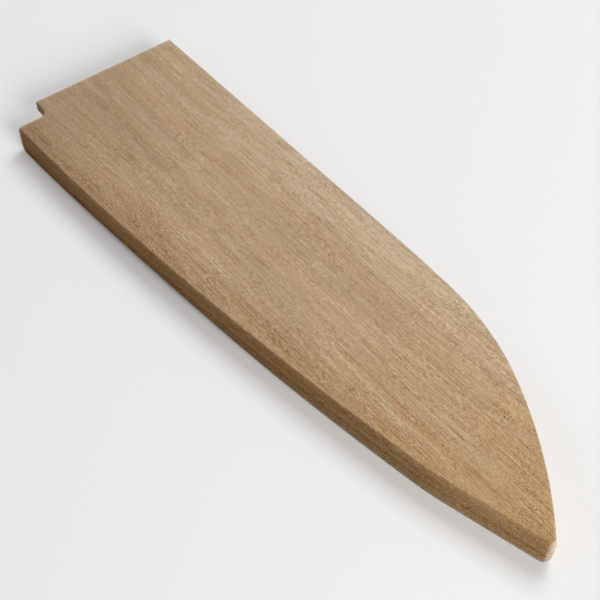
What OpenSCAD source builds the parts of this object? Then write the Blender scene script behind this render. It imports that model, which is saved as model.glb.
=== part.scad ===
// Wooden blade guard for a broad kitchen knife, laid flat on its back board.
// Two boards are glued over a middle layer of three pieces, which leaves a
// pocket as thick as the blade. The pocket is open at the mouth and at the heel step.
// X runs from the mouth to the nose, +Y is the spine side, +Z is up.

/* [Outline] */
// Length from the mouth to the nose, before its corner is rounded
guard_len = 191.4; // [187:0.2:196]
// Width at the heel, from the spine edge to the belly edge
guard_w = 56.8; // [54:0.2:60]
// Where the straight part of the spine edge ends, as a share of the length
spine_share = 0.535; // [0.52:0.005:0.55]
// Radius of the slow curve that follows the straight part
lead_r = 550; // [500:10:640]
// Where the shoulder's curve begins, as a share of the length
shoulder_share = 0.66; // [0.65:0.005:0.67]
// Radius of the shoulder's curve
shoulder_r = 77; // [74:0.5:82]
// Where the nose's curve begins, as a share of the length
nose_share = 0.807; // [0.79:0.001:0.82]
// Radius of the curve from the shoulder to the nose
nose_r = 126; // [114:1:136]
// Angle of the straight toe behind the nose, from the length
toe_angle = 15.6; // [15:0.1:16.4]
// Length of the straight toe
toe_len = 27; // [22:0.5:29]
// Radius of the bend between the toe and the belly
bend_r = 85; // [60:5:120]
// Angle that the bend turns through
bend_angle = 5.4; // [4.8:0.1:6]
// Radius in the corner of the nose
tip_r = 1.4; // [0.8:0.1:2.4]

/* [Heel step] */
// Depth of the step behind the mouth at the heel
step_depth = 6.8; // [5:0.2:9]
// Width of the step, from the belly edge
step_w = 9.6; // [7:0.2:12]
// Radius in the inner corner of the step
step_r = 2.2; // [1:0.2:4]

/* [Layers] */
// Thickness of each board
board_t = 3.2; // [2.6:0.1:4.4]
// Thickness of the middle layer, which is the height of the pocket
pocket_t = 2.8; // [2:0.1:3.6]
// Width of the strip along the spine
spine_wall = 4.2; // [3:0.2:6]
// Width of the strip along the belly
edge_wall = 7.4; // [5.6:0.2:8.4]
// Length of the solid block in the nose
nose_len = 20; // [16:0.5:26]

/* [Rounding] */
// How far the upper board's long edges come in towards the top face
face_in = 0.6; // [0.2:0.1:1]
// How far the lower board's long edges come in towards the bottom face
back_in = 1; // [0.4:0.1:1.2]
// How far the mouth and the heel step come in on both boards
mouth_in = 0.25; // [0.1:0.05:0.5]

/* [Hidden] */
levels = 6;
step_steps = 8;
board_pale = "#c8a984";
board_tan = "#c2a078";
core_tan = "#b8966c";

// The outline is drawn with s from the mouth and d down from the spine edge.
// A direction t is 0 across the spine edge, 90 past the nose and 180 across the belly.
function dir(t) = [sin(t), -cos(t)];

// Spine: each curve starts at the angle where the one before it ends.
spine_len = spine_share * guard_len;
lead_c = [spine_len, lead_r];
lead_t = asin((shoulder_share * guard_len - spine_len) / lead_r);
shoulder_c = lead_c + (lead_r - shoulder_r) * dir(lead_t);
shoulder_t = asin((nose_share * guard_len - shoulder_c[0]) / shoulder_r);
nose_c = shoulder_c + (shoulder_r - nose_r) * dir(shoulder_t);

// Belly, from the nose back: the toe, the bend, and the long curve to the heel
nose_t = asin((guard_len - nose_c[0]) / nose_r);
toe_t = 180 - toe_angle;
toe_dir = [cos(toe_angle), -sin(toe_angle)];
toe_end = nose_c + nose_r * dir(nose_t) - toe_len * toe_dir;
bend_c = toe_end - bend_r * dir(toe_t);
belly_t = toe_t + bend_angle;
bend_end = bend_c + bend_r * dir(belly_t);
to_heel = [step_depth, guard_w] - bend_end;
belly_r = -(to_heel * to_heel) / (2 * (to_heel * dir(belly_t)));
belly_c = bend_end - belly_r * dir(belly_t);

// Centre of the nose's corner, which touches the toe and the nose's curve
toe_in = toe_end - tip_r * dir(toe_t);
tip_b = (toe_in - nose_c) * toe_dir;
tip_q = (toe_in - nose_c) * (toe_in - nose_c) - pow(nose_r - tip_r, 2);
tip_c = toe_in + toe_dir * (sqrt(tip_b * tip_b - tip_q) - tip_b);
tip_t = atan2(tip_c[0] - nose_c[0], nose_c[1] - tip_c[1]);
overall_len = tip_c[0] + tip_r;

// Reach of the shapes that are cut away, past the outline on every side
past = guard_w;

// Inner corner of the heel step
step_d = guard_w - step_w;
step_c = [step_depth - step_r, step_d + step_r];

// Direction in which the belly's curve, moved in by inset, is at s
function belly_at(s, inset) = 180 - asin((s - belly_c[0]) / (belly_r - inset));

function arc(c, r, t0, t1, n, from = 0) = [for (k = [from:n]) c + r * dir(t0 + (t1 - t0) * k / n)];

// Spine edge from its straight end to the nose, moved in by inset
function spine_points(inset) = concat(
    arc(lead_c, lead_r - inset, 0, lead_t, 4),
    arc(shoulder_c, shoulder_r - inset, lead_t, shoulder_t, 14, 1),
    arc(nose_c, nose_r - inset, shoulder_t, tip_t, 14, 1));

// Belly edge from the bend to direction t_end, moved in by inset
function belly_points(inset, t_end) = concat(
    arc(bend_c, bend_r - inset, toe_t, belly_t, 4),
    arc(belly_c, belly_r - inset, belly_t, t_end, 24, 1));

// The whole outline, with the long edges and the mouth moved in by their own insets
function ring(inset, mouth) =
    concat([[mouth, inset]],
        spine_points(inset),
        arc(tip_c, tip_r - inset, tip_t, toe_t, 10, 1),
        belly_points(inset, belly_at(step_depth + mouth, inset)),
        arc(step_c, step_r + mouth, 90, 0, step_steps),
        [[mouth, step_d - mouth]]);

module place() {
    translate([-overall_len / 2, guard_w / 2, 0]) mirror([0, 1, 0]) children();
}

// A board whose outline comes in along a quarter of an ellipse from z = 0 to z = board_t
module rounded_board(edge_in) {
    share = [for (k = [0:levels]) 1 - cos(90 * k / levels)];
    z = [for (k = [0:levels]) board_t * sin(90 * k / levels)];
    points = [for (k = [0:levels]) for (p = ring(edge_in * share[k], mouth_in * share[k])) [p[0], p[1], z[k]]];
    n = len(ring(0, 0));
    sides = [for (k = [0:levels - 1]) for (i = [0:n - 1]) let (a = k * n, b = a + n, j = (i + 1) % n)
        [a + j, a + i, b + i, b + j]];
    // Each flat is a convex face up to the step, and a fan of triangles round it.
    step_at = n - step_steps - 2;
    low = concat([[for (i = [1:step_at]) i]], [for (i = [step_at:n - 1]) [1, i, (i + 1) % n]]);
    high = [for (face = low) [for (i = [len(face) - 1:-1:0]) face[i] + levels * n]];
    polyhedron(points = points, faces = concat(low, sides, high));
}

module outline() {
    polygon(ring(0, 0));
}

// Everything below the spine edge, moved in by an even margin
module under_spine(inset) {
    polygon(concat([[-past, inset]], spine_points(inset),
        [[guard_len, 2 * past], [-past, 2 * past]]));
}

// Everything above the belly edge, moved in by an even margin
module above_belly(inset) {
    toe_far = toe_end + (toe_len + past) * toe_dir - inset * dir(toe_t);
    polygon(concat([toe_far], belly_points(inset, belly_at(-past / 4, inset)),
        [[-past / 4, -past], [toe_far[0], -past]]));
}

module behind_nose() {
    translate([-past, -past]) square([past + guard_len - nose_len, 3 * past]);
}

module middle_layer() {
    place() translate([0, 0, board_t]) linear_extrude(pocket_t) children();
}

module face_board() {
    color(board_pale) place() translate([0, 0, board_t + pocket_t]) rounded_board(face_in);
}

module back_board() {
    color(board_tan) place() translate([0, 0, board_t]) mirror([0, 0, 1]) rounded_board(back_in);
}

module spine_strip() {
    color(core_tan) middle_layer() intersection() {
        difference() {
            outline();
            under_spine(spine_wall);
        }
        behind_nose();
    }
}

module edge_strip() {
    color(core_tan) middle_layer() intersection() {
        difference() {
            outline();
            above_belly(edge_wall);
        }
        behind_nose();
    }
}

module nose_block() {
    color(core_tan) middle_layer() difference() {
        outline();
        behind_nose();
    }
}

face_board();
back_board();
spine_strip();
edge_strip();
nose_block();
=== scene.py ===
"""A wooden guard for a broad kitchen knife, lying flat on its back board.

Two boards are glued over a middle layer of three pieces, a strip along the spine, a strip along
the belly and a block in the nose. The space between them is the pocket for the blade. Lengths
are in millimetres in the guard's classes, and in metres in the meshes and the studio. The frame
is the CAD's: +X from the mouth to the nose, +Y towards the knife's spine, +Z up.
"""

import logging
import math
from dataclasses import dataclass, field
from enum import Enum

import bmesh
import bpy
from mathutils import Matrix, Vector


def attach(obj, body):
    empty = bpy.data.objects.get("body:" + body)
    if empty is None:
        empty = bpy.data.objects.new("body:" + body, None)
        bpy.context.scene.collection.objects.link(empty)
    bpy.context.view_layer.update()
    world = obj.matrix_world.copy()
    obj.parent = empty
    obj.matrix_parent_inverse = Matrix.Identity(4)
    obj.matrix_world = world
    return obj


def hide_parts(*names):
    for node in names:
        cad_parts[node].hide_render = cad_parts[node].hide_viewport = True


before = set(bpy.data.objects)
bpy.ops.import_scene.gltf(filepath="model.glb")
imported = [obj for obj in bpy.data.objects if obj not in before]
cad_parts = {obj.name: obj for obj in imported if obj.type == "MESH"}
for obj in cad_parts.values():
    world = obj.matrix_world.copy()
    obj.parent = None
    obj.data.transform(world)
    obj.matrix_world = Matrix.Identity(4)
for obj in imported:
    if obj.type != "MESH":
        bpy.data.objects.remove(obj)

log = logging.getLogger("guard")

MM = 0.001
WHITE = (1.0, 1.0, 1.0, 1.0)
Point = tuple[float, float]
Span = tuple[float, float]
Triple = tuple[float, float, float]
Colour = Triple
Socket = bpy.types.NodeSocket


def linear(red: int, green: int, blue: int) -> Colour:
    """Turns a screen colour into the linear colour that a shader reads.

    Args:
        red: Red, from 0 to 255.
        green: Green, from 0 to 255.
        blue: Blue, from 0 to 255.

    Returns:
        The linear colour.
    """
    return tuple(
        c / 12.92 if c <= 0.04045 else ((c + 0.055) / 1.055) ** 2.4
        for c in (red / 255, green / 255, blue / 255)
    )


# Node trees


class Value:
    """A number in a node tree. Python's operators on it add Math nodes."""

    def __init__(self, graph: "Graph", socket: Socket) -> None:
        """Wraps an output socket that carries one number."""
        self.graph = graph
        self.socket = socket

    def _math(self, operation: str, *operands: "Value | float") -> "Value":
        """Adds one Math node on the operands and returns its result."""
        node = self.graph.node(
            "ShaderNodeMath", {"operation": operation}, dict(enumerate(operands))
        )
        return Value(self.graph, node.outputs[0])

    def __add__(self, other: "Value | float") -> "Value":
        """self + other."""
        return self._math("ADD", self, other)

    def __sub__(self, other: "Value | float") -> "Value":
        """self - other."""
        return self._math("SUBTRACT", self, other)

    def __rsub__(self, other: float) -> "Value":
        """other - self."""
        return self._math("SUBTRACT", other, self)

    def __mul__(self, other: "Value | float") -> "Value":
        """self * other."""
        return self._math("MULTIPLY", self, other)

    def __abs__(self) -> "Value":
        """The size of self, without its sign."""
        return self._math("ABSOLUTE", self)

    def fraction(self) -> "Value":
        """What is left of self after its whole part."""
        return self._math("FRACT", self)

    def step(self, low: float, high: float) -> "Value":
        """A smooth step.

        Args:
            low: The step is 0 where self is below this.
            high: It is 1 where self is above this.

        Returns:
            The step.
        """
        node = self.graph.node(
            "ShaderNodeMapRange",
            {"interpolation_type": "SMOOTHSTEP"},
            {"Value": self, "From Min": low, "From Max": high},
        )
        return Value(self.graph, node.outputs["Result"])


class Graph:
    """A node tree, and the one method that adds nodes to it."""

    def __init__(self, tree: bpy.types.NodeTree) -> None:
        """Takes a tree and empties it."""
        self.tree = tree
        tree.nodes.clear()

    def node(
        self, kind: str, settings: dict | None = None, inputs: dict | None = None
    ) -> bpy.types.Node:
        """Adds a node.

        Args:
            kind: The node's type.
            settings: Its properties, which are set before its sockets are read.
            inputs: A value, a Value or a socket for each input, by name or number.

        Returns:
            The new node.
        """
        made = self.tree.nodes.new(kind)
        for name, setting in (settings or {}).items():
            setattr(made, name, setting)
        for key, given in (inputs or {}).items():
            socket = made.inputs[key]
            source = given.socket if isinstance(given, Value) else given
            if isinstance(source, Socket):
                self.tree.links.new(source, socket)
            else:
                socket.default_value = source
        return made

    def vector(self, operation: str, *operands: Socket | tuple | float) -> Socket:
        """Adds one Vector Math node.

        Args:
            operation: What the node does.
            operands: Its inputs, the second of which is a number when it scales.

        Returns:
            The vector's socket.
        """
        keys = (0, "Scale") if operation == "SCALE" else range(len(operands))
        node = self.node(
            "ShaderNodeVectorMath", {"operation": operation}, dict(zip(keys, operands))
        )
        return node.outputs["Vector"]

    def parts(self, vector: Socket) -> tuple[Value, Value, Value]:
        """The three numbers of a vector."""
        node = self.node("ShaderNodeSeparateXYZ", inputs={0: vector})
        return tuple(Value(self, out) for out in node.outputs)

    def blend(self, first: Socket | Colour, second: Socket | Colour, share: Value) -> Socket:
        """Mixes two colours.

        Args:
            first: The colour where share is 0.
            second: The colour that is laid on it.
            share: How much of the second colour shows.

        Returns:
            The mixed colour's socket.
        """
        colours = [(*c, 1.0) if isinstance(c, tuple) else c for c in (first, second)]
        node = self.node(
            "ShaderNodeMix",
            {"data_type": "RGBA", "clamp_factor": True},
            {0: share, 6: colours[0], 7: colours[1]},
        )
        return node.outputs[2]

    def noise(
        self,
        place: Socket,
        stretch: Triple,
        detail: float = 2.0,
        rough: float = 0.5,
        seed: float = 0.0,
    ) -> Value:
        """Smooth noise from 0 to 1 on a place in millimetres.

        Args:
            place: The place.
            stretch: Cells to the millimetre, along X, Y and Z.
            detail: Octaves added to the first.
            rough: How strong each octave is beside the one before it.
            seed: A step through the noise, for a pattern of its own.

        Returns:
            The noise.
        """
        spot = self.vector(
            "ADD",
            self.vector("MULTIPLY", place, stretch),
            (seed * 7.3, seed * 3.1, seed * 5.7),
        )
        node = self.node(
            "ShaderNodeTexNoise",
            {"noise_dimensions": "3D"},
            {"Vector": spot, "Scale": 1.0, "Detail": detail, "Roughness": rough},
        )
        return Value(self, node.outputs[0])

    def cells(self, place: Socket, stretch: Triple, seed: float) -> tuple[Value, Value]:
        """Scattered points on a place in millimetres.

        Args:
            place: The place.
            stretch: Cells to the millimetre, along X, Y and Z.
            seed: A step through the pattern.

        Returns:
            The distance to the nearest point, and that point's own random number.
        """
        spot = self.vector(
            "ADD", self.vector("MULTIPLY", place, stretch), (seed, seed * 1.7, seed * 2.3)
        )
        node = self.node("ShaderNodeTexVoronoi", inputs={"Vector": spot, "Scale": 1.0})
        red, _, _ = self.parts(node.outputs["Color"])
        return Value(self, node.outputs["Distance"]), red


# Finishes

Parts = tuple[Value, Value, Value]


@dataclass(frozen=True)
class Figure:
    """One layer of a timber's figure, as noise that is stretched along the grain.

    stretch is in cells to the millimetre along X, Y and Z. strength is how much the noise, which
    runs from -0.5 to 0.5, adds to the timber's tone.
    """

    stretch: Triple
    strength: float
    seed: float
    detail: float = 1.0
    rough: float = 0.5

    def at(self, g: Graph, place: Socket) -> Value:
        """The layer's noise at a place in millimetres."""
        return g.noise(place, self.stretch, self.detail, self.rough, self.seed) - 0.5


@dataclass(frozen=True)
class Spot:
    """The spot on a piece that a material is worked out for.

    g is the material's node tree. place is where the spot is on the piece, and grain where it is
    in the log, both in millimetres. parts is the three numbers of place, and facing those of the
    surface's normal.
    """

    g: Graph
    place: Socket
    grain: Socket
    parts: Parts
    facing: Parts


@dataclass(frozen=True)
class Zones:
    """Where each change of the timber over the guard begins and ends.

    The spans are in millimetres, along X, across Y, up from the table, in from the belly's curve
    or from the mouth, and past the step's two walls. The last ones are for one part of the
    surface's normal.
    """

    calm_heel: Span = (-95.0, -10.0)
    paler_belly: Span = (-95.0, -40.0)
    paler_spine: Span = (-90.0, 0.0)
    heel_to_toe: Span = (-60.0, 80.0)
    # Where along X the painted shade low on the belly's side fades out
    painted_low_shade: Span = (-40.0, 30.0)
    belly_band: Span = (-40.0, 70.0)
    honey: Span = (10.0, 120.0)
    toe: Span = (20.0, 95.0)
    tip: Span = (93.6, 94.8)
    heel_corner: Span = (-130.0, -20.0)

    belly_side: Span = (-32.0, 2.0)
    spine_side: Span = (7.0, 27.0)
    past_wall: Span = (0.0, 2.0)

    low_shade_up: Span = (1.0, 5.5)
    low_rim: Span = (0.8, 2.4)
    top_arris: Span = (8.0, 8.6)

    # Where the painted shade along the belly's edge lies, in from its curve
    band_in: Span = (0.5, 13.0)
    band_edge: Span = (0.6, 2.4)
    rim: Span = (0.1, 1.1)
    long_wall: Span = (-1.6, -1.0)
    end_wall: Span = (-0.6, 0.0)

    sawn: Span = (0.15, 0.6)
    dotted: Span = (0.2, 0.7)
    side: Span = (0.5, 0.9)
    arris: Span = (0.3, 0.6)
    flat: Span = (0.9, 0.99)
    top: Span = (0.6, 0.95)
    end: Span = (0.5, 0.95)
    to_belly: Span = (-0.6, -0.2)
    to_spine: Span = (-0.2, 0.2)


@dataclass(frozen=True)
class SandedTimber:
    """Pale, close-grained timber, sanded smooth and left bare.

    The grain runs along X through the whole block, so a face along it shows streaks and a cut
    across it shows dots. cut is where in the log the piece was sawn, in millimetres, and belly
    is the centre and the radius of the belly's curve, along which painted shade darkens the
    timber. mouth is where the mouth is along X, how deep its step is, and where along Y the step
    ends. coarse is how strongly the dots show on a cut edge.
    """

    name: str
    cut: Triple
    belly: Triple
    mouth: Triple
    coarse: float = 1.6
    pale: Colour = linear(194, 169, 139)
    tan: Colour = linear(175, 145, 110)
    dun: Colour = linear(160, 134, 104)
    honey: Colour = linear(186, 149, 102)
    sawn: Colour = linear(183, 139, 88)
    toe: Colour = linear(206, 163, 113)
    # End grain: partly its own paler colour, partly painted light on the ends
    end: Colour = linear(216, 186, 144)
    # Painted highlight on the lower rims, the rims at the mouth and the heel, and the nose's tip
    painted_highlight: Colour = linear(232, 218, 196)
    # Painted highlight on the sides' upper arris
    arris_highlight: Colour = linear(206, 186, 156)
    zones: Zones = Zones()
    bands: Figure = Figure((0.014, 0.3, 0.3), 0.34, seed=2.0, rough=0.4)
    clouds: Figure = Figure((0.04, 0.12, 0.12), 0.18, seed=3.0)
    threads: Figure = Figure((0.09, 3.8, 3.8), 0.95, seed=4.0, rough=0.6)
    fibres: Figure = Figure((0.8, 5.6, 5.6), 0.78, seed=5.0, detail=0.0)
    specks: Figure = Figure((3.2, 6.4, 6.4), 1.45, seed=9.0, detail=0.0)
    slope: float = 0.022
    sideways: float = 5.0
    upward: float = 2.5
    roughness: float = 0.76
    roughness_by_tone: float = 0.4
    specular: float = 0.2
    relief: float = 0.2
    relief_depth: float = 0.00005

    def material(self) -> bpy.types.Material:
        """Builds the timber's material.

        Returns:
            The material.
        """
        made = bpy.data.materials.new(self.name)
        made.use_nodes = True
        g = Graph(made.node_tree)
        coordinates = g.node("ShaderNodeTexCoord")
        place = g.vector("SCALE", coordinates.outputs["Object"], 1.0 / MM)
        facing = g.parts(coordinates.outputs["Normal"])
        spot = Spot(g, place, self._grain(g, place), g.parts(place), facing)
        tone, pores = self._tone(spot)
        colour = self._ends(spot, self._sides(spot, self._ground(spot)))
        colour = g.vector("MULTIPLY", colour, self._stain(spot, tone))
        height = g.noise(spot.grain, (0.5, 3.0, 3.0), seed=1.0) - pores * 0.5
        bump = g.node(
            "ShaderNodeBump",
            inputs={"Strength": self.relief, "Distance": self.relief_depth, "Height": height},
        )
        shader = g.node(
            "ShaderNodeBsdfPrincipled",
            inputs={
                "Base Color": colour,
                "Roughness": self.roughness - (tone - 1.0) * self.roughness_by_tone,
                "Normal": bump.outputs[0],
                "Specular IOR Level": self.specular,
            },
        )
        g.node("ShaderNodeOutputMaterial", inputs={0: shader.outputs[0]})
        return made

    def _grain(self, g: Graph, place: Socket) -> Socket:
        """Finds the place in the log, on axes that follow the grain's slow waves.

        Args:
            g: The material's node tree.
            place: The place on the piece, in millimetres.

        Returns:
            The place in the log, in millimetres.
        """
        here = g.vector("ADD", place, self.cut)
        along, _, _ = g.parts(place)
        wave = g.noise(here, (0.012, 0.035, 0.035), detail=1.0) - 0.5
        lean = {"Y": wave * self.sideways - along * self.slope, "Z": wave * self.upward}
        return g.vector("ADD", here, g.node("ShaderNodeCombineXYZ", inputs=lean).outputs[0])

    def _tone(self, spot: Spot) -> tuple[Value, Value]:
        """The timber's figure, less the painted shade along the belly.

        Args:
            spot: The spot on the piece.

        Returns:
            How light the timber is, about 1, and where its pores are.
        """
        g, grain = spot.g, spot.grain
        bands = self.bands.at(g, grain)
        clouds = self.clouds.at(g, spot.place)
        patches = g.noise(spot.place, (0.03, 0.06, 0.06), detail=0.0, seed=6.0).step(0.35, 0.65)
        _, across, _ = g.parts(grain)
        ring = (across * 0.16 + bands * 1.6).fraction()
        line = ring.step(0.55, 0.95) * (1.0 - ring.step(0.95, 1.0))
        far, own = g.cells(grain, (0.3, 3.4, 3.4), seed=7.0)
        core = 1.0 - far.step(0.1, 0.45)
        pores = core * own.step(0.55, 0.9)
        flecks = core * (1.0 - own.step(0.15, 0.45))
        calm = spot.parts[0].step(*self.zones.calm_heel) * 0.2 + 0.8
        fine = flecks * 0.06
        for layer in (self.threads, self.fibres, self.specks):
            fine = fine + layer.at(g, grain) * layer.strength
        tone = (
            1.0
            - self._painted_shade(spot)
            + self._open_grain(spot)
            + bands * self.bands.strength
            + clouds * self.clouds.strength
            + fine * ((patches * 0.3 + 0.85) * calm)
            - line * 0.05
            - pores * 0.06
        )
        return tone, pores

    def _painted_shade(self, spot: Spot) -> Value:
        """Painted shade along the belly's edge, and low on the belly's side near the heel.

        Args:
            spot: The spot on the piece.

        Returns:
            What the two take from the timber's tone.
        """
        z = self.zones
        along, _, height = spot.parts
        _, to_spine, up = spot.facing
        depth = self._depth(spot)
        # Painted shade in a band along the belly's edge, eased off at the very edge
        belly_shade = (1.0 - depth.step(*z.band_in)) * (depth.step(*z.band_edge) * 0.4 + 0.6)
        side = (1.0 - abs(up).step(*z.side)) * (1.0 - to_spine.step(*z.to_belly))
        # Painted shade on the lower part of the belly's side near the heel
        painted_low_shade = (1.0 - height.step(*z.low_shade_up)) * (1.0 - along.step(*z.painted_low_shade)) * side
        return belly_shade * (0.2 - along.step(*z.belly_band) * 0.12) + painted_low_shade * 0.35

    def _open_grain(self, spot: Spot) -> Value:
        """The light and dark dots of an edge, where the fibres were cut short.

        Args:
            spot: The spot on the piece.

        Returns:
            What the dots add to the timber's tone.
        """
        dots = spot.g.noise(spot.place, (2.2, 2.2, 3.0), detail=1.0, rough=0.8, seed=12.0) - 0.5
        side = 1.0 - abs(spot.facing[2]).step(*self.zones.dotted)
        to_toe = spot.parts[0].step(*self.zones.heel_to_toe) * 0.8 + 0.2
        return dots * side * to_toe * self.coarse

    def _depth(self, spot: Spot) -> Value:
        """Measures how far in from the belly's curve a spot is, in millimetres."""
        x, y, radius = self.belly
        flat = spot.g.vector("MULTIPLY", spot.place, (1.0, 1.0, 0.0))
        ends = {0: flat, 1: (x, y, 0.0)}
        far = spot.g.node("ShaderNodeVectorMath", {"operation": "DISTANCE"}, ends)
        return radius - Value(spot.g, far.outputs["Value"])

    @staticmethod
    def _stain(spot: Spot, tone: Value) -> Socket:
        """Turns the tone into a tint: lighter timber is greyer, and darker timber redder.

        Args:
            spot: The spot on the piece.
            tone: How light the timber is, about 1.

        Returns:
            What the timber's colour is multiplied by.
        """
        hue = spot.g.noise(spot.grain, (0.02, 0.35, 0.35), detail=1.0, seed=11.0) - 0.5
        over = tone - 1.0
        tint = {
            "X": over * 0.72 + 1.0 + hue * 0.1,
            "Y": tone,
            "Z": over * 1.3 + 1.0 - hue * 0.16,
        }
        return spot.g.node("ShaderNodeCombineXYZ", inputs=tint).outputs[0]

    def _ground(self, spot: Spot) -> Socket:
        """The slow changes of colour over a large face.

        Args:
            spot: The spot on the piece.

        Returns:
            The colour's socket.
        """
        z, g = self.zones, spot.g
        along, across, _ = spot.parts
        hue = g.noise(spot.grain, (0.01, 0.07, 0.07), detail=1.0, seed=8.0) - 0.5
        by_belly = (across + hue * 30.0).step(*z.belly_side)
        by_belly = by_belly * (along.step(*z.paler_belly) * 0.2 + 0.22)
        by_spine = (across + hue * 14.0).step(*z.spine_side)
        by_spine = by_spine * (along.step(*z.paler_spine) * 0.28 + 0.38)
        to_nose = (along + hue * 50.0).step(*z.honey)
        from_heel = (along + across + hue * 60.0).step(*z.heel_corner)
        colour = g.blend(self.dun, self.tan, from_heel)
        colour = g.blend(colour, self.pale, by_belly + by_spine)
        return g.blend(colour, self.honey, to_nose * (1.0 - by_spine) * 0.85)

    def _sides(self, spot: Spot, colour: Socket) -> Socket:
        """Colours the sawn sides, with painted highlights on their upper arris and their lower
        rim.

        Args:
            spot: The spot on the piece.
            colour: The colour of the large faces.

        Returns:
            The colour's socket.
        """
        z, g = self.zones, spot.g
        along, _, height = spot.parts
        _, to_spine, up = spot.facing
        slant = abs(up)
        sawn = g.blend(self.sawn, self.toe, along.step(*z.toe))
        colour = g.blend(colour, sawn, (1.0 - slant.step(*z.sawn)) * 0.85)
        round_off = 1.0 - slant.step(*z.flat)
        # Painted highlight on the upper arris, where light catches its rounding
        arris = slant.step(*z.arris) * round_off * to_spine.step(*z.to_spine)
        colour = g.blend(colour, self.arris_highlight, arris * height.step(*z.top_arris) * 0.5)
        # Painted highlight on the sides' lower rim, growing towards the nose
        low = (1.0 - height.step(*z.low_rim)) * round_off
        return g.blend(colour, self.painted_highlight, low * along.step(*z.belly_band) * 0.4)

    def _ends(self, spot: Spot, colour: Socket) -> Socket:
        """Colours the end grain, the step's wall, and the painted highlights at the mouth and the
        nose.

        Args:
            spot: The spot on the piece.
            colour: The colour of the faces and the sides.

        Returns:
            The colour's socket.
        """
        z, g = self.zones, spot.g
        along, across, _ = spot.parts
        to_nose, _, up = spot.facing
        front, deep, ends = self.mouth
        side = 1.0 - abs(up).step(*z.sawn)
        in_step = 1.0 - (across - ends).step(*z.long_wall)
        in_mouth = 1.0 - (along - front - deep).step(*z.end_wall)
        # Painted light: the step's wall is tinted paler and greyer, for the cool shade it lies in
        in_wall = side * in_mouth * (1.0 - across.step(*z.past_wall))
        colour = g.blend(colour, self.pale, in_wall * 0.6)
        # Painted highlight on the rims at the mouth and at the heel's end
        rim = 1.0 - (along - front - in_step * (side * 0.7 + deep)).step(*z.rim)
        # Painted highlight on the rounded tip of the nose, where the light falls on it
        tip = along.step(*z.tip) * (1.0 - up.step(*z.top))
        # End grain, paler: partly its own colour, partly painted light on the ends
        cut = abs(to_nose).step(*z.end)
        colour = g.blend(colour, self.end, cut * (1.0 - tip) * 0.9)
        return g.blend(colour, self.painted_highlight, rim * (in_step * 0.25 + 0.45) + tip * 0.9)


# Shapes


def heading(turn: float) -> Point:
    """The direction at an angle: 0 is across the spine edge, 90 past the nose, 180 the belly."""
    return math.sin(math.radians(turn)), -math.cos(math.radians(turn))


def move(start: Point, along: Point, far: float) -> Point:
    """The point that is far from start in a direction."""
    return start[0] + along[0] * far, start[1] + along[1] * far


def arc(centre: Point, radius: float, first: float, last: float, steps: int) -> list[Point]:
    """Draws an arc.

    Args:
        centre: Its centre.
        radius: Its radius.
        first: The direction in which it starts.
        last: The direction in which it ends.
        steps: How many steps it is drawn in.

    Returns:
        Its points, both ends in.
    """
    return [
        move(centre, heading(first + (last - first) * k / steps), radius)
        for k in range(steps + 1)
    ]


def soft_corner(
    centre: Point, radius: float, turns: Span, insets: tuple[float, float]
) -> list[Point]:
    """A corner that is a quarter of an ellipse, because its sides are moved in unevenly.

    Args:
        centre: The centre of the corner.
        radius: Its radius, before its sides are moved in.
        turns: The directions that the first and the last point face.
        insets: How far its sides are moved in along s and along d.

    Returns:
        The corner's points.
    """
    steps = 8
    points = []
    for k in range(steps + 1):
        s, d = heading(turns[0] + (turns[1] - turns[0]) * k / steps)
        points.append((centre[0] + (radius - insets[0]) * s, centre[1] + (radius - insets[1]) * d))
    return points


def moved_in(points: list[Point], far: float) -> list[Point]:
    """Moves every side of a closed outline in.

    Args:
        points: The outline.
        far: How far its sides are moved.

    Returns:
        The outline that the moved sides meet in.
    """
    around = list(zip(points[-1:] + points[:-1], points, points[1:] + points[:1]))
    turn = math.copysign(far, sum(b[0] * c[1] - c[0] * b[1] for _, b, c in around))
    moved = []
    for before, here, after in around:
        sides = Vector(here) - Vector(before), Vector(after) - Vector(here)
        normals = [Vector((-side.y, side.x)).normalized() for side in sides]
        lean = (normals[0] + normals[1]) / (1.0 + normals[0].dot(normals[1]))
        moved.append(move(here, tuple(lean), turn))
    return moved


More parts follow.
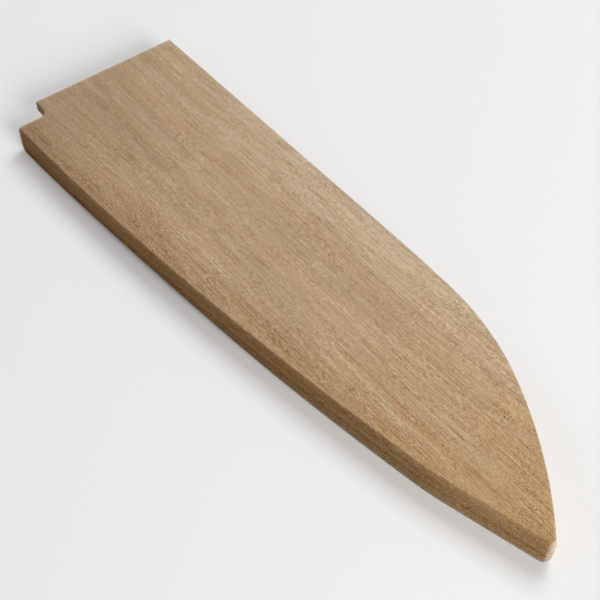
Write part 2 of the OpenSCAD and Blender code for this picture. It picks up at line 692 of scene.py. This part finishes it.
@dataclass
class GuardOutline:
    """The guard's outline, with s from the mouth and d down from the spine edge.

    The sizes down to step_r are those of the CAD source, and the curves follow one another in
    the same way. heel_r and mouth_r soften the corners of the heel and the mouth, heel_out is
    how far the heel's end stands out at half height, and shy keeps the long edges and the
    mouth a hair inside the CAD's. STEPS is how many steps each curve is drawn in.
    """

    STEPS = {
        "straight": 12,
        "lead": 8,
        "shoulder": 28,
        "nose": 32,
        "tip": 18,
        "bend": 8,
        "belly": 64,
    }

    length: float = 191.4
    width: float = 56.8
    spine_share: float = 0.535
    lead_r: float = 550.0
    shoulder_share: float = 0.66
    shoulder_r: float = 77.0
    nose_share: float = 0.807
    nose_r: float = 126.0
    toe_angle: float = 15.6
    toe_len: float = 27.0
    bend_r: float = 85.0
    bend_angle: float = 5.4
    tip_r: float = 1.4
    step_depth: float = 6.8
    step_w: float = 9.6
    step_r: float = 2.2
    heel_r: float = 0.9
    heel_out: float = 0.9
    mouth_r: float = 0.4
    shy: float = 0.02
    overall: float = field(init=False)

    def __post_init__(self) -> None:
        """Works out where each curve begins and ends."""
        self.lead_c = (self.spine_share * self.length, self.lead_r)
        self.lead_t = self._turn_at(self.shoulder_share * self.length, self.lead_c, self.lead_r)
        self.shoulder_c = move(self.lead_c, heading(self.lead_t), self.lead_r - self.shoulder_r)
        self.shoulder_t = self._turn_at(
            self.nose_share * self.length, self.shoulder_c, self.shoulder_r
        )
        gap = self.shoulder_r - self.nose_r
        self.nose_c = move(self.shoulder_c, heading(self.shoulder_t), gap)
        nose_t = self._turn_at(self.length, self.nose_c, self.nose_r)
        self.toe_t = 180.0 - self.toe_angle
        toe_dir = heading(90.0 - self.toe_angle)
        toe_end = move(move(self.nose_c, heading(nose_t), self.nose_r), toe_dir, -self.toe_len)
        self.bend_c = move(toe_end, heading(self.toe_t), -self.bend_r)
        self.belly_t = self.toe_t + self.bend_angle
        bend_end = move(self.bend_c, heading(self.belly_t), self.bend_r)
        to_heel = Vector((self.step_depth - bend_end[0], self.width - bend_end[1]))
        lean = to_heel.dot(Vector(heading(self.belly_t)))
        self.belly_r = -to_heel.length_squared / (2.0 * lean)
        self.belly_c = move(bend_end, heading(self.belly_t), -self.belly_r)
        toe_in = move(toe_end, heading(self.toe_t), -self.tip_r)
        inner = Vector(toe_in) - Vector(self.nose_c)
        along = inner.dot(Vector(toe_dir))
        short = inner.length_squared - (self.nose_r - self.tip_r) ** 2
        reach = math.sqrt(along * along - short) - along
        self.tip_c = move(toe_in, toe_dir, reach)
        self.tip_t = math.degrees(
            math.atan2(self.tip_c[0] - self.nose_c[0], self.nose_c[1] - self.tip_c[1])
        )
        self.step_d = self.width - self.step_w
        self.overall = self.tip_c[0] + self.tip_r

    @staticmethod
    def _turn_at(s: float, centre: Point, radius: float) -> float:
        """The direction in which a curve round centre reaches s on the spine's side."""
        return math.degrees(math.asin((s - centre[0]) / radius))

    def belly_at(self, s: float, inset: float) -> float:
        """The direction in which the belly's curve, moved in by inset, is at s."""
        return 180.0 - self._turn_at(s, self.belly_c, self.belly_r - inset)

    def spine_points(self, inset: float) -> list[Point]:
        """The spine edge from the mouth to the nose, moved in by inset."""
        steps = self.STEPS
        n = steps["straight"]
        turns = (self.lead_t, self.shoulder_t)
        return [
            *((self.lead_c[0] * k / n, inset) for k in range(1, n)),
            *arc(self.lead_c, self.lead_r - inset, 0.0, turns[0], steps["lead"]),
            *arc(self.shoulder_c, self.shoulder_r - inset, *turns, steps["shoulder"])[1:],
            *arc(self.nose_c, self.nose_r - inset, turns[1], self.tip_t, steps["nose"])[1:],
        ]

    def belly_points(self, inset: float, to_s: float) -> list[Point]:
        """The belly edge from the bend back to to_s, moved in by inset."""
        last = self.belly_at(to_s, inset)
        return [
            *arc(self.bend_c, self.bend_r - inset, self.toe_t, self.belly_t, self.STEPS["bend"]),
            *arc(self.belly_c, self.belly_r - inset, self.belly_t, last, self.STEPS["belly"])[1:],
        ]

    def tip_points(self, inset: float) -> list[Point]:
        """The corner of the nose, moved in by inset, after the spine's last point."""
        return arc(
            self.tip_c, self.tip_r - inset, self.tip_t, self.toe_t, self.STEPS["tip"]
        )[1:]

    def heel_points(self, edge: float, heel: float) -> list[Point]:
        """The softened corner between the belly edge and the heel's end.

        Args:
            edge: How far the belly edge is moved in.
            heel: How far the heel's end is moved in, below zero where it stands out.

        Returns:
            The corner's points. The first is the last of the belly's.
        """
        turn = self.belly_at(self.step_depth + self.heel_r, 0.0)
        touch = move(self.belly_c, heading(turn), self.belly_r)
        centre = move(touch, heading(turn), -self.heel_r)
        return soft_corner(centre, self.heel_r, (turn, 270.0), (heel, edge))

    def ring(self, edge: float, mouth: float, heel: float) -> list[Point]:
        """The whole outline.

        Args:
            edge: How far the long edges are moved in.
            mouth: How far the mouth and the step's inner side are moved in.
            heel: How far the heel's end is moved in, below zero where it stands out.

        Returns:
            The outline's points, from the mouth along the spine and back.
        """
        r = self.mouth_r
        inner = (self.step_depth - self.step_r, self.step_d + self.step_r)
        return [
            *soft_corner((r, r), r, (270.0, 360.0), (mouth, edge)),
            *self.spine_points(edge),
            *self.tip_points(edge),
            *self.belly_points(edge, self.step_depth + self.heel_r),
            *self.heel_points(edge, heel)[1:],
            *soft_corner(inner, self.step_r, (90.0, 0.0), (-heel, -mouth)),
            *soft_corner((r, self.step_d - r), r, (180.0, 270.0), (mouth, mouth)),
        ]

    def belly_round(self) -> Triple:
        """The belly's curve as its centre in X and Y and its radius, in millimetres."""
        x, y = self.place(self.belly_c)
        return x / MM, y / MM, self.belly_r

    def mouth_step(self) -> Triple:
        """Where the mouth is along X, its step's depth and where that ends along Y."""
        x, y = self.place((0.0, self.step_d))
        return x / MM, self.step_depth, y / MM

    def place(self, point: Point) -> Point:
        """A point of the outline as X and Y in metres."""
        return (point[0] - self.overall / 2) * MM, (self.width / 2 - point[1]) * MM


class Edge(Enum):
    """How a slab's side is shaped above its seam."""

    ROUNDED = "rounded"
    SQUARE = "square"


class SlabNodes:
    """Geometry Nodes that raise an outline into a slab.

    The outline is a loop of edges, drawn at the seam, where the slab is glued on. Its point
    attribute "flare" reaches from the seam's fine groove out to the slab's side, and "inward"
    from there to where the rounding ends. Both are in metres. LEVELS is how many steps the
    rounding has, SEAM the share of the height that a groove takes, and RIM how much further in
    than the rounding the flat begins. Points closer than MERGE, in metres, become one.
    """

    LEVELS = 12
    SEAM = 0.04
    RIM = 0.35
    MERGE = 0.000002

    def __init__(self, edge: Edge) -> None:
        """Builds the tree with its named inputs."""
        self.tree = bpy.data.node_groups.new(f"{edge.value} slab", "GeometryNodeTree")
        face = self.tree.interface
        kinds = {"Geometry": "Geometry", "Height": "Float", "Base": "Float", "Finish": "Material"}
        for name, kind in kinds.items():
            face.new_socket(name, in_out="INPUT", socket_type=f"NodeSocket{kind}")
        face.new_socket("Geometry", in_out="OUTPUT", socket_type="NodeSocketGeometry")
        g = Graph(self.tree)
        given = g.node("NodeGroupInput")
        height = Value(g, given.outputs["Height"])
        flare, inward = (
            g.node(
                "GeometryNodeInputNamedAttribute", {"data_type": "FLOAT_VECTOR"}, {"Name": name}
            ).outputs[0]
            for name in ("flare", "inward")
        )
        shape = given.outputs["Geometry"]
        top = None
        for flare_share, inward_share, rise in self.profile(edge):
            lift = g.node("ShaderNodeCombineXYZ", inputs={"Z": height * rise}).outputs[0]
            out = g.vector("SCALE", flare, flare_share)
            step = g.vector("ADD", out, g.vector("SCALE", inward, inward_share))
            chosen = {"Selection": top} if top else {}
            wall = g.node(
                "GeometryNodeExtrudeMesh",
                {"mode": "EDGES"},
                {"Mesh": shape, "Offset Scale": 0.0} | chosen,
            )
            top = wall.outputs["Top"]
            shape = g.node(
                "GeometryNodeSetPosition",
                inputs={
                    "Geometry": wall.outputs["Mesh"],
                    "Selection": top,
                    "Offset": g.vector("ADD", step, lift),
                },
            ).outputs[0]
        lid = self._raised(g, self._lid(g, shape, top), height)
        base = self._lid(g, given.outputs["Geometry"], None)
        whole = g.node("GeometryNodeJoinGeometry")
        for part in (base, lid, shape):
            g.tree.links.new(part, whole.inputs[0])
        merged = g.node(
            "GeometryNodeMergeByDistance",
            inputs={
                "Geometry": self._raised(g, whole.outputs[0], Value(g, given.outputs["Base"])),
                "Distance": self.MERGE,
            },
        )
        real = g.node("GeometryNodeRealizeInstances", inputs={0: merged.outputs[0]})
        dressed = g.node(
            "GeometryNodeSetMaterial",
            inputs={"Geometry": real.outputs[0], "Material": given.outputs["Finish"]},
        )
        g.node("NodeGroupOutput", inputs={0: dressed.outputs[0]})

    def profile(self, edge: Edge) -> list[Triple]:
        """Steps up the slab's side.

        Args:
            edge: How the side is shaped.

        Returns:
            What each step adds: shares of the flare, of the rounding and of the height.
        """
        if edge is Edge.SQUARE:
            return [(1.0, 0.0, self.SEAM), (0.0, 0.0, 1.0 - 2 * self.SEAM), (-1.0, 0.0, self.SEAM)]
        turns = [math.pi / 2 * k / self.LEVELS for k in range(self.LEVELS + 1)]
        curve = [
            (0.0, math.cos(a) - math.cos(b), (math.sin(b) - math.sin(a)) * (1.0 - self.SEAM))
            for a, b in zip(turns, turns[1:])
        ]
        return [(1.0, 0.0, self.SEAM), *curve, (0.0, self.RIM, 0.0)]

    @staticmethod
    def _raised(g: Graph, shape: Socket, height: Value) -> Socket:
        """Lifts a shape by a height and returns it."""
        lift = g.node("ShaderNodeCombineXYZ", inputs={"Z": height})
        return g.node(
            "GeometryNodeTransform", inputs={"Geometry": shape, "Translation": lift.outputs[0]}
        ).outputs[0]

    @staticmethod
    def _lid(g: Graph, shape: Socket, edges: Socket | None) -> Socket:
        """Fills a loop of edges with one face.

        Args:
            g: The tree.
            shape: The mesh that the edges are in.
            edges: Which edges they are, or None for all.

        Returns:
            The face's geometry socket.
        """
        loop = g.node(
            "GeometryNodeMeshToCurve",
            inputs={"Mesh": shape} | ({"Selection": edges} if edges else {}),
        )
        fill = g.node("GeometryNodeFillCurve", inputs={"Curve": loop.outputs[0]})
        return fill.outputs[0]


# Pieces


class Layer(Enum):
    """The guard's three layers."""

    BACK = "back"
    MIDDLE = "middle"
    FACE = "face"


# Where in the log each piece was sawn, in millimetres, and how coarse its cut edges are
SAWN = {
    "back_board": ((310.0, 90.0, 10.0), 1.6),
    "spine_strip": ((500.0, 20.0, 60.0), 1.6),
    "edge_strip": ((700.0, 55.0, 20.0), 1.6),
    "nose_block": ((900.0, 15.0, 80.0), 1.6),
    "face_board": ((40.0, 15.0, 30.0), 0.5),
}


@dataclass
class BladeGuard:
    """The whole guard: two boards and the three pieces of the middle layer.

    The sizes down to mouth_in are those of the CAD source. groove is the depth of the line at a
    glued seam, and heel_in how far the heel's end comes in on both boards. Along the belly the
    lower board comes in by back_in times heel_share at the heel and toe_share at the toe, and by
    belly_more times back_in on top of that at belly_peak, which fades over belly_spread. The
    upper board is worn back at the nose by nose_worn and the lower one by nose_lift, over about
    nose_reach. Points of the middle layer's outline closer than cut_gap to the nose block's end
    are left out. Edges that turn by more than sharp_angle, in degrees, look sharp.
    """

    outline: GuardOutline = field(default_factory=GuardOutline)
    board_t: float = 3.2
    pocket_t: float = 2.8
    spine_wall: float = 4.2
    edge_wall: float = 7.4
    nose_len: float = 20.0
    face_in: float = 0.6
    back_in: float = 1.0
    mouth_in: float = 0.25
    groove: float = 0.06
    heel_in: float = 0.35
    heel_share: float = 0.5
    toe_share: float = 0.15
    belly_more: float = 1.8
    belly_peak: float = 65.0
    belly_spread: float = 32.0
    nose_worn: float = 0.4
    nose_lift: float = 0.9
    nose_reach: float = 4.0
    cut_gap: float = 0.3
    sharp_angle: float = 40.0
    slabs: dict[Edge, SlabNodes] = field(init=False)

    def build(self) -> None:
        """Makes every piece, in the order in which a maker glues them."""
        self.slabs = {edge: SlabNodes(edge) for edge in Edge}
        self._board("back_board", Layer.BACK, -1)
        self._middle()
        self._board("face_board", Layer.FACE, 1)

    def _underside(self, layer: Layer) -> float:
        """The height of a layer's underside."""
        return {
            Layer.BACK: 0.0,
            Layer.MIDDLE: self.board_t,
            Layer.FACE: self.board_t + self.pocket_t,
        }[layer]

    def _timber(self, node: str) -> bpy.types.Material:
        """Makes the timber of one piece, sawn from its own place in the log."""
        cut, coarse = SAWN[node]
        name = node.replace("_", " ") + " timber"
        o = self.outline
        return SandedTimber(name, cut, o.belly_round(), o.mouth_step(), coarse).material()

    def _slab(
        self,
        node: str,
        edge: Edge,
        rings: tuple[list[Point], list[Point]],
        base: float,
        height: float,
    ) -> None:
        """Raises a slab from an outline.

        Args:
            node: The CAD node that the piece stands for.
            edge: How its side is shaped.
            rings: The outline of its side, and where its rounding ends.
            base: The height of its seam.
            height: Its thickness, below zero for a slab that is built downwards.
        """
        groove, side, end = (
            [self.outline.place(p) for p in ring]
            for ring in (moved_in(rings[0], self.groove), *rings)
        )
        mesh = bpy.data.meshes.new(node)
        mesh.from_pydata(
            [(x, y, 0.0) for x, y in groove],
            [(k, (k + 1) % len(groove)) for k in range(len(groove))],
            [],
        )
        for name, first, last in (("flare", groove, side), ("inward", side, end)):
            reach = mesh.attributes.new(name, "FLOAT_VECTOR", "POINT")
            for k, (a, b) in enumerate(zip(first, last)):
                reach.data[k].vector = (b[0] - a[0], b[1] - a[1], 0.0)
        piece = bpy.data.objects.new(node + "_piece", mesh)
        bpy.context.scene.collection.objects.link(piece)
        modifier = piece.modifiers.new("slab", "NODES")
        modifier.node_group = self.slabs[edge].tree
        sockets = {
            s.name: s.identifier
            for s in modifier.node_group.interface.items_tree
            if s.in_out == "INPUT"
        }
        modifier[sockets["Height"]] = height * MM
        modifier[sockets["Base"]] = base * MM
        modifier[sockets["Finish"]] = self._timber(node)
        self._settle(piece)
        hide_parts(node)
        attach(piece, "root")
        log.info("%s: %d faces", node, len(piece.data.polygons))

    def _settle(self, piece: bpy.types.Object) -> None:
        """Turns a piece's nodes into a plain closed mesh with its faces outwards.

        Args:
            piece: The piece, whose modifier is removed.
        """
        graph = bpy.context.evaluated_depsgraph_get()
        made = bpy.data.meshes.new_from_object(piece.evaluated_get(graph), depsgraph=graph)
        piece.modifiers.clear()
        piece.data = made
        shape = bmesh.new()
        shape.from_mesh(made)
        bmesh.ops.recalc_face_normals(shape, faces=shape.faces)
        shape.to_mesh(made)
        shape.free()
        made.shade_smooth()
        made.set_sharp_from_angle(angle=math.radians(self.sharp_angle))

    def _board(self, node: str, layer: Layer, side: int) -> None:
        """Makes one board, rounded on the side that faces out.

        Args:
            node: The CAD node that the board stands for.
            layer: Its layer.
            side: 1 where it faces up, -1 where it faces down.
        """
        shy = self.outline.shy
        outer = self.outline.ring(shy, shy, -self.outline.heel_out)
        if side > 0:
            inner = self.outline.ring(self.face_in, self.mouth_in, self.heel_in)
            inner = [self._from_nose(point, self.nose_worn) for point in inner]
            base = self._underside(layer)
        else:
            inner = self._planed(outer)
            base = self._underside(layer) + self.board_t
        self._slab(node, Edge.ROUNDED, (outer, inner), base, side * self.board_t)

    def _planed(self, outer: list[Point]) -> list[Point]:
        """Where the lower board's rounding ends.

        The belly edge is planed off more along its middle than at the heel and the toe, and
        the point of the nose is lifted clear of the table.

        Args:
            outer: The outline of the board's side.

        Returns:
            The outline of its flat underside.
        """
        o = self.outline
        square = o.ring(o.shy, self.mouth_in, self.heel_in)
        round_in = o.ring(o.shy + self.back_in, self.mouth_in, self.heel_in)
        ends = []
        for a, b in zip(square, round_in):
            share = 1.0
            if a[1] > o.width / 2:
                bell = math.exp(-(((a[0] - self.belly_peak) / self.belly_spread) ** 2))
                least = self.heel_share + (self.toe_share - self.heel_share) * a[0] / o.overall
                share = least + self.belly_more * bell
            end = (a[0] + (b[0] - a[0]) * share, a[1] + (b[1] - a[1]) * share)
            ends.append(self._from_nose(end, self.nose_lift))
        return ends

    def _from_nose(self, point: Point, far: float) -> Point:
        """Moves a point back by far at the nose, and by less the further it is from there."""
        share = math.exp(-(((self.outline.overall - point[0]) / self.nose_reach) ** 2))
        return point[0] - far * share, point[1]

    def _middle(self) -> None:
        """Makes the three pieces of the middle layer."""
        o = self.outline
        shy = o.shy
        cut = o.length - self.nose_len
        spine = o.spine_points(shy)
        heel = o.belly_points(shy, o.step_depth + o.heel_r)[::-1]
        corner = soft_corner((o.mouth_r, o.mouth_r), o.mouth_r, (270.0, 360.0), (shy, shy))
        wall = self._before(o.spine_points(self.spine_wall), cut)
        end = (shy, self.spine_wall)
        self._strip("spine_strip", [*corner, *self._before(spine, cut), *wall[::-1], end])
        # The belly's edge starts at the corner's first point, which is left out here.
        corner = o.heel_points(shy, -o.heel_out)[:0:-1]
        wall = self._before(o.belly_points(self.edge_wall, o.step_depth - o.heel_out)[::-1], cut)
        self._strip("edge_strip", [*corner, *self._before(heel, cut), *wall[::-1]])
        nose = spine + o.tip_points(shy) + heel[::-1]
        nose = [point for point in nose if point[0] > cut + self.cut_gap]
        ends = [self._before(edge, cut)[-1] for edge in (spine, heel)]
        self._strip("nose_block", [ends[0], *nose, ends[1]])

    def _before(self, points: list[Point], cut: float) -> list[Point]:
        """Ends an edge at a cut across it.

        Args:
            points: The edge, from the mouth.
            cut: Where the cut is, from the mouth.

        Returns:
            The points up to the cut, with one on it.
        """
        kept: list[Point] = []
        for a, b in zip(points, points[1:]):
            if a[0] < cut - self.cut_gap:
                kept.append(a)
            if a[0] < cut <= b[0]:
                share = (cut - a[0]) / (b[0] - a[0])
                kept.append((cut, a[1] + (b[1] - a[1]) * share))
        return kept

    def _strip(self, node: str, ring: list[Point]) -> None:
        """Makes one piece of the middle layer, which isn't rounded."""
        self._slab(node, Edge.SQUARE, (ring, ring), self._underside(Layer.MIDDLE), self.pocket_t)


# Studio


@dataclass(frozen=True)
class Lamp:
    """A soft square lamp that looks at the guard, with its place and its width in metres."""

    name: str
    place: Triple
    size: float
    watts: float

    def hang(self) -> None:
        """Adds the lamp to the scene."""
        data = bpy.data.lights.new(self.name, "AREA")
        data.size = self.size
        data.energy = self.watts
        lamp = bpy.data.objects.new(self.name, data)
        lamp.location = self.place
        lamp.rotation_euler = (-Vector(self.place)).to_track_quat("-Z", "Y").to_euler()
        bpy.context.scene.collection.objects.link(lamp)


@dataclass
class Studio:
    """A pale floor that fades to white away from the guard, soft lamps and the camera.

    The camera sees the floor pale, while to light that bounces it is as dark as lit says. eye is
    where the photograph was taken from, and look is the direction of the view.
    """

    lamps: tuple[Lamp, ...] = (
        Lamp("back", (-0.15, 0.5, 0.85), 0.5, 4.12),
        Lamp("left", (-0.9, -0.05, 0.2), 0.4, 2.4),
        Lamp("right", (0.88, -0.05, 0.47), 0.4, 7.3),
    )
    floor_half: float = 8.0
    pale: Colour = (0.9, 0.9, 0.89)
    lit: Colour = (0.12, 0.12, 0.12)
    floor_rough: float = 0.9
    fade: Span = (0.12, 0.6)
    sky: float = 0.2
    lens: float = 63.32
    sensor: float = 36.0
    clip: Span = (0.01, 20.0)
    eye: Triple = (0.13855, -0.10608, 0.21177)
    look: Triple = (-0.49115, 0.39013, -0.77883)

    def build(self) -> None:
        """Makes the floor, the world, the lamps and the camera."""
        self._floor()
        self._world()
        for lamp in self.lamps:
            lamp.hang()
        self._camera()
        bpy.context.scene.view_settings.view_transform = "Standard"

    def _floor(self) -> None:
        """Lays the floor under the guard."""
        half = self.floor_half
        mesh = bpy.data.meshes.new("floor")
        corners = [(-half, -half, 0), (half, -half, 0), (half, half, 0), (-half, half, 0)]
        mesh.from_pydata(corners, [], [(0, 1, 2, 3)])
        floor = bpy.data.objects.new("floor", mesh)
        bpy.context.scene.collection.objects.link(floor)
        paint = bpy.data.materials.new("floor paint")
        paint.use_nodes = True
        g = Graph(paint.node_tree)
        path = g.node("ShaderNodeLightPath")
        seen = Value(g, path.outputs["Is Camera Ray"])
        colour = g.blend(self.lit, self.pale, seen)
        shader = g.node(
            "ShaderNodeBsdfPrincipled",
            inputs={"Base Color": colour, "Roughness": self.floor_rough},
        )
        place = g.node("ShaderNodeTexCoord").outputs["Object"]
        length = g.node("ShaderNodeVectorMath", {"operation": "LENGTH"}, {0: place})
        far = Value(g, length.outputs["Value"]).step(*self.fade)
        glow = g.node("ShaderNodeEmission", inputs={"Color": WHITE, "Strength": 1.0})
        mix = g.node(
            "ShaderNodeMixShader",
            inputs={0: seen * far, 1: shader.outputs[0], 2: glow.outputs[0]},
        )
        g.node("ShaderNodeOutputMaterial", inputs={0: mix.outputs[0]})
        mesh.materials.append(paint)

    def _world(self) -> None:
        """Makes a plain even sky, white where the camera and gloss see it."""
        world = bpy.data.worlds.new("studio")
        bpy.context.scene.world = world
        world.use_nodes = True
        g = Graph(world.node_tree)
        path = g.node("ShaderNodeLightPath")
        camera, gloss, through = (
            Value(g, path.outputs[f"Is {kind} Ray"])
            for kind in ("Camera", "Glossy", "Transmission")
        )
        dim, white = (
            g.node("ShaderNodeBackground", inputs={"Color": WHITE, "Strength": strength})
            for strength in (self.sky, 1.0)
        )
        mix = g.node(
            "ShaderNodeMixShader",
            inputs={0: camera + gloss + through, 1: dim.outputs[0], 2: white.outputs[0]},
        )
        g.node("ShaderNodeOutputWorld", inputs={0: mix.outputs[0]})

    def _camera(self) -> None:
        """Sets the camera where the photograph was taken from."""
        data = bpy.data.cameras.new("camera")
        data.lens = self.lens
        data.sensor_width = self.sensor
        data.clip_start, data.clip_end = self.clip
        camera = bpy.data.objects.new("camera", data)
        camera.location = self.eye
        camera.rotation_euler = Vector(self.look).to_track_quat("-Z", "Y").to_euler()
        bpy.context.scene.collection.objects.link(camera)
        bpy.context.scene.camera = camera


def main() -> None:
    """Builds the guard and the studio round it."""
    logging.basicConfig(level=logging.INFO, format="%(name)s: %(message)s")
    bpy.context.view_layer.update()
    BladeGuard().build()
    Studio().build()


if __name__ == "__main__":
    main()
